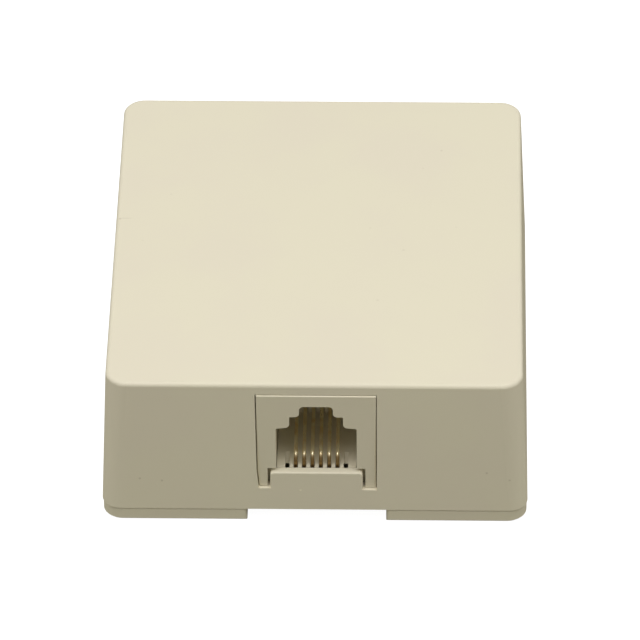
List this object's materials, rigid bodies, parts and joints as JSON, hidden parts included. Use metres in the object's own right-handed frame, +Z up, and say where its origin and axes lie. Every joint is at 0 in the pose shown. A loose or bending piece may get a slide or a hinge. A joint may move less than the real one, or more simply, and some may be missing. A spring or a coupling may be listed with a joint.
{
  "type": "surface mount jack box",
  "caption": "Surface mount modular jack box: a drafted clip-on cover with a keyed plug port over a flat base plate with screw terminals and spade leads.",
  "frame": {"origin": "middle of the base plate's underside, which is the middle of the bounding box's lower face", "axes": "+Z up from the mounting surface, the plug port faces -Y, +X to the right seen from the front"},
  "size_m": [0.052, 0.059, 0.0209],
  "materials": {
    "ivory_plastic": "fine satin moulded plastic, ivory",
    "base_plastic": "fine satin moulded plastic, ivory",
    "jack_plastic": "smooth satin moulded plastic, ivory",
    "carrier_plastic": "smooth satin moulded plastic, ivory",
    "contact_gold": "gold-plated spring wire",
    "lug_tin": "tinned copper",
    "insert_brass": "turned brass",
    "washer_steel": "zinc-plated steel",
    "screw_steel": "zinc-plated steel",
    "lead_white": "soft satin cable insulation",
    "lead_black": "soft satin cable insulation",
    "lead_red": "soft satin cable insulation",
    "lead_green": "soft satin cable insulation",
    "lead_yellow": "soft satin cable insulation",
    "lead_blue": "soft satin cable insulation"
  },
  "bodies": {
    "base": {"base_plate": "base_plastic", "terminal_insert_1": "insert_brass", "terminal_insert_2": "insert_brass", "terminal_insert_3": "insert_brass", "terminal_insert_4": "insert_brass", "terminal_insert_5": "insert_brass", "terminal_insert_6": "insert_brass", "spade_lug_1": "lug_tin", "spade_lug_2": "lug_tin", "spade_lug_3": "lug_tin", "spade_lug_4": "lug_tin", "spade_lug_5": "lug_tin", "spade_lug_6": "lug_tin", "lead_1": "lead_white", "lead_2": "lead_black", "lead_3": "lead_red", "lead_4": "lead_green", "lead_5": "lead_yellow", "lead_6": "lead_blue"},
    "cover_assembly": {"cover": "ivory_plastic", "jack_housing": "jack_plastic", "contact_carrier": "carrier_plastic", "contact_1": "contact_gold", "contact_2": "contact_gold", "contact_3": "contact_gold", "contact_4": "contact_gold", "contact_5": "contact_gold", "contact_6": "contact_gold"},
    "clamp_1": {"terminal_washer_1": "washer_steel"},
    "screw_1": {"terminal_screw_1": "screw_steel"},
    "clamp_2": {"terminal_washer_2": "washer_steel"},
    "screw_2": {"terminal_screw_2": "screw_steel"},
    "clamp_3": {"terminal_washer_3": "washer_steel"},
    "screw_3": {"terminal_screw_3": "screw_steel"},
    "clamp_4": {"terminal_washer_4": "washer_steel"},
    "screw_4": {"terminal_screw_4": "screw_steel"},
    "clamp_5": {"terminal_washer_5": "washer_steel"},
    "screw_5": {"terminal_screw_5": "screw_steel"},
    "clamp_6": {"terminal_washer_6": "washer_steel"},
    "screw_6": {"terminal_screw_6": "screw_steel"}
  },
  "joints": [
    {"name": "cover_lift", "type": "slide", "parent": "base", "child": "cover_assembly", "axis": [0, 0, 1], "range_m": [0, 0.028], "deforming": ["lead_1", "lead_2", "lead_3", "lead_4", "lead_5", "lead_6"]},
    {"name": "terminal_rise_1", "type": "slide", "parent": "base", "child": "clamp_1", "axis": [0, 0, 1], "range_m": [0, 0.00159]},
    {"name": "terminal_turn_1", "type": "hinge", "parent": "clamp_1", "child": "screw_1", "pos_m": [-0.019, -0.01, 0.0071], "axis": [0, 0, 1], "range_deg": [0, 720]},
    {"name": "terminal_rise_2", "type": "slide", "parent": "base", "child": "clamp_2", "axis": [0, 0, 1], "range_m": [0, 0.00159]},
    {"name": "terminal_turn_2", "type": "hinge", "parent": "clamp_2", "child": "screw_2", "pos_m": [-0.019, 0.002, 0.0071], "axis": [0, 0, 1], "range_deg": [0, 720]},
    {"name": "terminal_rise_3", "type": "slide", "parent": "base", "child": "clamp_3", "axis": [0, 0, 1], "range_m": [0, 0.00159]},
    {"name": "terminal_turn_3", "type": "hinge", "parent": "clamp_3", "child": "screw_3", "pos_m": [-0.019, 0.014, 0.0071], "axis": [0, 0, 1], "range_deg": [0, 720]},
    {"name": "terminal_rise_4", "type": "slide", "parent": "base", "child": "clamp_4", "axis": [0, 0, 1], "range_m": [0, 0.00159]},
    {"name": "terminal_turn_4", "type": "hinge", "parent": "clamp_4", "child": "screw_4", "pos_m": [0.019, 0.014, 0.0071], "axis": [0, 0, 1], "range_deg": [0, 720]},
    {"name": "terminal_rise_5", "type": "slide", "parent": "base", "child": "clamp_5", "axis": [0, 0, 1], "range_m": [0, 0.00159]},
    {"name": "terminal_turn_5", "type": "hinge", "parent": "clamp_5", "child": "screw_5", "pos_m": [0.019, 0.002, 0.0071], "axis": [0, 0, 1], "range_deg": [0, 720]},
    {"name": "terminal_rise_6", "type": "slide", "parent": "base", "child": "clamp_6", "axis": [0, 0, 1], "range_m": [0, 0.00159]},
    {"name": "terminal_turn_6", "type": "hinge", "parent": "clamp_6", "child": "screw_6", "pos_m": [0.019, -0.01, 0.0071], "axis": [0, 0, 1], "range_deg": [0, 720]}
  ],
  "couplings": [
    {"joint": "terminal_turn_1", "follows": "terminal_rise_1", "rad_per_m": 7913.3},
    {"joint": "terminal_turn_2", "follows": "terminal_rise_2", "rad_per_m": 7913.3},
    {"joint": "terminal_turn_3", "follows": "terminal_rise_3", "rad_per_m": 7913.3},
    {"joint": "terminal_turn_4", "follows": "terminal_rise_4", "rad_per_m": 7913.3},
    {"joint": "terminal_turn_5", "follows": "terminal_rise_5", "rad_per_m": 7913.3},
    {"joint": "terminal_turn_6", "follows": "terminal_rise_6", "rad_per_m": 7913.3}
  ]
}
